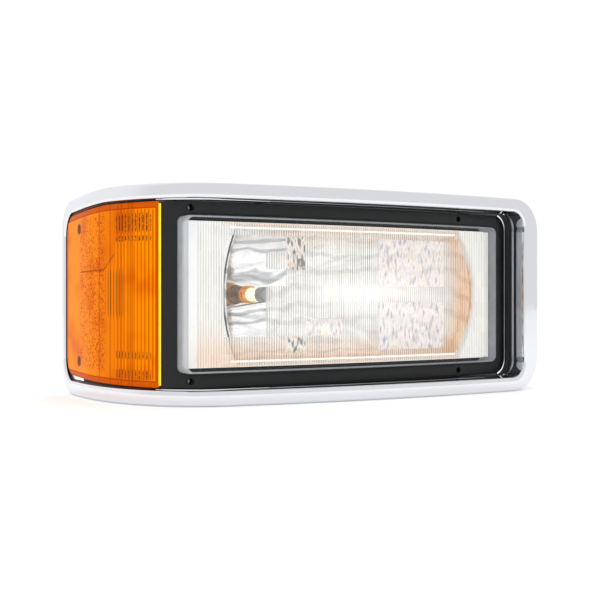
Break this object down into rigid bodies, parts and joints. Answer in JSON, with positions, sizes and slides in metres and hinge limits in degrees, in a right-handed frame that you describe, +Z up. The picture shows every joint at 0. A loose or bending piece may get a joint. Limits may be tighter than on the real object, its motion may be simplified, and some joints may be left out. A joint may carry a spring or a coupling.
{
  "type": "vehicle headlight assembly",
  "caption": "Heavy-truck headlight with a chrome bezel wrapping round the corner, a wide fluted clear lens, an amber corner turn signal and an aimable reflector.",
  "frame": {"origin": "middle of the base, under the centre of the bounding box", "axes": "+X inboard along the headlight, -Y forward out of the lens, +Z up"},
  "size_m": [0.4979, 0.2492, 0.218],
  "materials": {
    "chrome": "bright chromed steel pressing",
    "black_frame": "satin black moulding",
    "clear_glass": "clear fluted lens glass",
    "amber": "glossy amber lens",
    "black_plastic": "fine-grained black moulding",
    "reflector_silver": "vacuum-metallised",
    "white_trim": "pale satin moulding",
    "rubber": "soft black rubber",
    "steel": "zinc-plated",
    "nylon": "natural nylon",
    "brass": "pressed brass",
    "tungsten": "tungsten wire",
    "grey_plastic": "grey moulding"
  },
  "bodies": {
    "lamp_body": {"bezel_screw_1": "steel", "bezel_screw_2": "steel", "bezel_screw_3": "steel", "bezel_screw_4": "steel", "carrier_ring": "black_plastic", "chrome_bezel": "chrome", "frame_screw_1": "steel", "frame_screw_2": "steel", "frame_screw_3": "steel", "frame_screw_4": "steel", "headlamp_frame": "black_frame", "headlamp_housing": "black_plastic", "headlamp_lens": "clear_glass", "housing_screw_1": "steel", "housing_screw_2": "steel", "housing_screw_3": "steel", "housing_screw_4": "steel", "inner_trim": "white_trim", "lens_gasket": "rubber", "lens_screw_lower": "steel", "lens_screw_upper": "steel", "mounting_nut_1": "steel", "mounting_nut_2": "steel", "mounting_nut_3": "steel", "mounting_nut_4": "steel", "mounting_stud_1": "steel", "mounting_stud_2": "steel", "mounting_stud_3": "steel", "mounting_stud_4": "steel", "pivot_ball_stud": "steel", "turn_housing_screw_lower": "steel", "turn_housing_screw_upper": "steel", "turn_signal_gasket": "rubber", "turn_signal_housing": "black_plastic", "turn_signal_lens": "amber", "turn_signal_reflector": "reflector_silver", "vent_cap": "rubber", "wiring_grommet": "rubber"},
    "aim_cup": {"pivot_ball_cup": "nylon"},
    "reflector_body": {"reflector": "reflector_silver", "reflector_frame": "black_plastic", "bulb_shield": "steel", "bulb_glass": "clear_glass", "bulb_base": "black_plastic", "bulb_terminal_1": "brass", "bulb_terminal_2": "brass", "bulb_terminal_3": "brass", "low_beam_filament": "tungsten", "high_beam_filament": "tungsten", "vertical_adjuster_nut": "nylon", "horizontal_adjuster_nut": "nylon"},
    "retaining_ring": {"bulb_retaining_ring": "grey_plastic"},
    "vertical_adjuster": {"vertical_adjuster_screw": "nylon"},
    "horizontal_adjuster": {"horizontal_adjuster_screw": "nylon"},
    "rear_cap": {"access_cap": "rubber", "cap_seal": "rubber"},
    "signal_socket": {"turn_socket": "grey_plastic", "turn_socket_seal": "rubber", "turn_bulb_glass": "amber", "turn_bulb_base": "brass"}
  },
  "joints": [
    {"name": "aim_sideways", "type": "hinge", "parent": "lamp_body", "child": "aim_cup", "pos_m": [-0.165, -0.034, 0.051], "axis": [0, 0, 1], "range_deg": [-2.5, 2.5]},
    {"name": "aim_height", "type": "hinge", "parent": "aim_cup", "child": "reflector_body", "pos_m": [-0.165, -0.034, 0.051], "axis": [1, 0, 0], "range_deg": [-3, 3]},
    {"name": "vertical_screw_turn", "type": "hinge", "parent": "lamp_body", "child": "vertical_adjuster", "pos_m": [-0.165, 0.002, 0.167], "axis": [0, 1, 0], "range_deg": [-366, 366]},
    {"name": "horizontal_screw_turn", "type": "hinge", "parent": "lamp_body", "child": "horizontal_adjuster", "pos_m": [0.178, 0.002, 0.051], "axis": [0, 1, 0], "range_deg": [-899, 899]},
    {"name": "bulb_ring_twist", "type": "hinge", "parent": "reflector_body", "child": "retaining_ring", "pos_m": [-0.075, 0.0594, 0.109], "axis": [0, 1, 0], "range_deg": [0, 30]},
    {"name": "cap_twist", "type": "hinge", "parent": "lamp_body", "child": "rear_cap", "pos_m": [-0.075, 0.0666, 0.109], "axis": [0, 1, 0], "range_deg": [0, 45]},
    {"name": "socket_twist", "type": "hinge", "parent": "lamp_body", "child": "signal_socket", "pos_m": [-0.21, 0.045, 0.109], "axis": [1, 0, 0], "range_deg": [0, 45]}
  ],
  "couplings": [
    {"joint": "vertical_screw_turn", "follows": "aim_height", "ratio": 121.47},
    {"joint": "horizontal_screw_turn", "follows": "aim_sideways", "ratio": 359.19}
  ]
}
